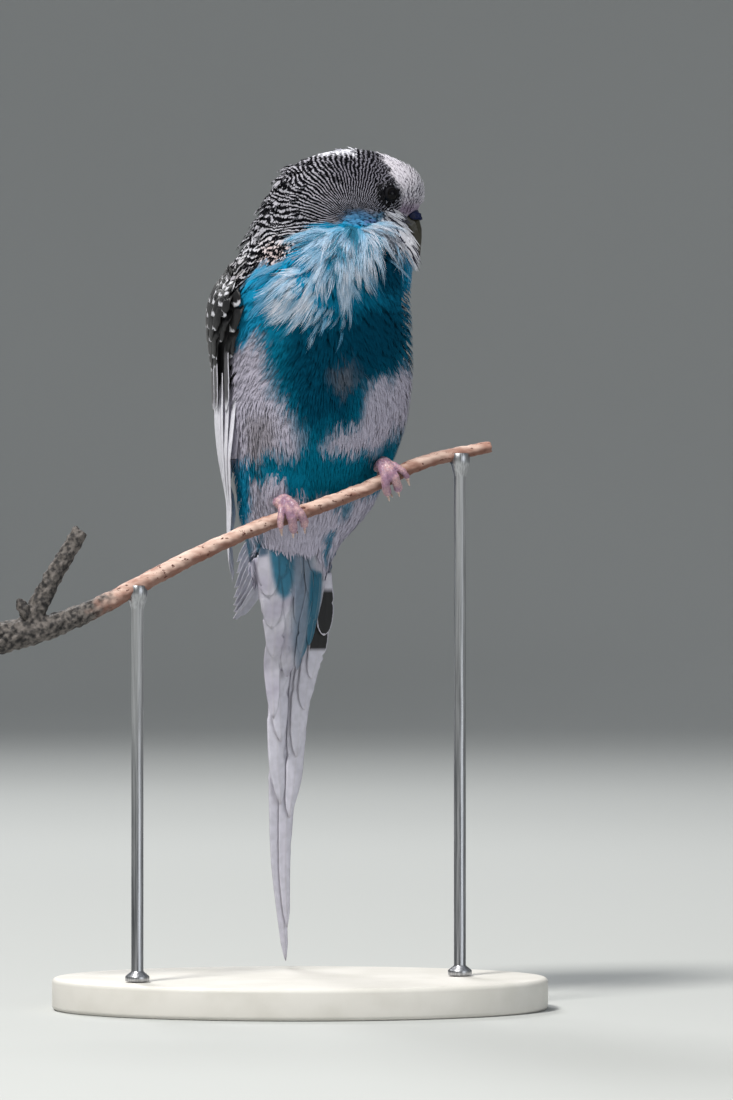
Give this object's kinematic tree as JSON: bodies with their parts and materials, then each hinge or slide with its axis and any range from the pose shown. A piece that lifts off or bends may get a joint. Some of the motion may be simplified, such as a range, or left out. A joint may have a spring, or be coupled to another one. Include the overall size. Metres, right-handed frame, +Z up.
{
  "type": "budgerigar model on a perch stand",
  "caption": "Life-size still model of a perched pied budgerigar with a long tail, gripping a cut branch that a flat oval base and rods hold up.",
  "frame": {"origin": "centre of the oval base's underside", "axes": "+Z up, +X to the right of the picture, -Y towards the viewer"},
  "size_m": [0.1452, 0.076, 0.2153],
  "materials": {
    "plumage_blue": "soft body feathers, turquoise blue with white patches",
    "plumage_white": "soft head feathers, white with fine black bars",
    "flight_feather": "smooth vaned feathers, white with grey-black marks",
    "eye": "glossy, black with a dull olive ring",
    "horn": "satin olive horn",
    "cere": "waxy dark blue",
    "foot_skin": "scaly mauve-pink skin",
    "claw": "satin pale pink horn",
    "bark": "pale pinkish bark with dark brown flecks",
    "stand_base": "pale satin painted board",
    "stand_rod": "brushed"
  },
  "bodies": {
    "root": {"torso": "plumage_blue", "neck": "plumage_white", "head": "plumage_white", "undertail": "plumage_blue", "tail": "flight_feather", "wing_right": "flight_feather", "wing_left": "flight_feather", "eye_right": "eye", "eye_left": "eye", "bill_upper": "horn", "bill_lower": "horn", "cere": "cere", "leg_right": "foot_skin", "claw_right_inner": "claw", "claw_right_middle": "claw", "claw_right_outer": "claw", "claw_right_hind": "claw", "leg_left": "foot_skin", "claw_left_inner": "claw", "claw_left_middle": "claw", "claw_left_outer": "claw", "claw_left_hind": "claw", "perch": "bark", "stand_base": "stand_base", "stand_rod_left": "stand_rod", "stand_rod_right": "stand_rod"}
  },
  "joints": []
}
